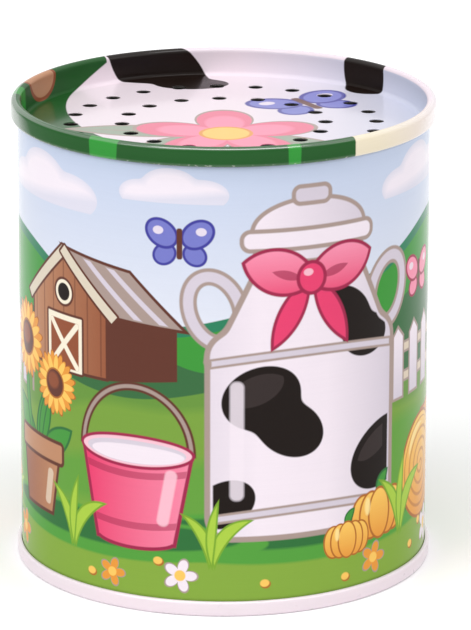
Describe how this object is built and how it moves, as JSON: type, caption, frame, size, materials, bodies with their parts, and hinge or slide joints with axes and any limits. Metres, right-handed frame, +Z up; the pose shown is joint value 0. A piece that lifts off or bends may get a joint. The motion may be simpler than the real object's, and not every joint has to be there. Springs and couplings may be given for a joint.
{
  "type": "tip-over sound tin",
  "caption": "Seamed round tin with a perforated recessed lid; a weighted bellows inside sounds a reed when the tin is turned over.",
  "frame": {"origin": "centre of the foot ring that the tin stands on", "axes": "+Z up along the tin's axis, towards the perforated lid; -Y is the front that the picture shows, +Y the back with the wall's lock seam"},
  "size_m": [0.0678, 0.0678, 0.076],
  "materials": {
    "printed_tin": "gloss varnish over print",
    "lid_tin": "gloss varnish over print",
    "white_tin": "gloss white lacquer",
    "grey_card": "raw grey board",
    "felt": "pressed felt",
    "moulded_black": "moulded",
    "moulded_ivory": "moulded",
    "bellows_cloth": "rubber-coated cloth",
    "reed_brass": "rolled strip",
    "slug_steel": "zinc plated"
  },
  "bodies": {
    "tin": {"can_body": "printed_tin", "lid_end": "lid_tin", "base_end": "white_tin", "guide_sleeve": "grey_card", "landing_pad": "felt", "sound_spacer": "grey_card", "reed_board": "moulded_black", "upper_clamp_ring": "moulded_black", "bellows": "bellows_cloth", "reed_socket": "moulded_black", "reed_shallot": "moulded_ivory", "reed_wedge": "moulded_ivory"},
    "weight": {"weight_tray": "moulded_black", "weight_slug": "slug_steel", "slug_washer": "slug_steel", "slug_screw": "slug_steel", "lower_clamp_ring": "moulded_black"},
    "reed": {"reed_tongue": "reed_brass"}
  },
  "joints": [
    {"name": "weight_drop", "type": "slide", "parent": "tin", "child": "weight", "axis": [0, 0, 1], "range_m": [0, 0.026], "deforming": ["bellows"]},
    {"name": "reed_beat", "type": "hinge", "parent": "tin", "child": "reed", "pos_m": [0, -0.00013, 0.05722], "axis": [1, 0, 0], "range_deg": [-2, 2], "stiffness_Nm_per_rad": 0.0025}
  ]
}
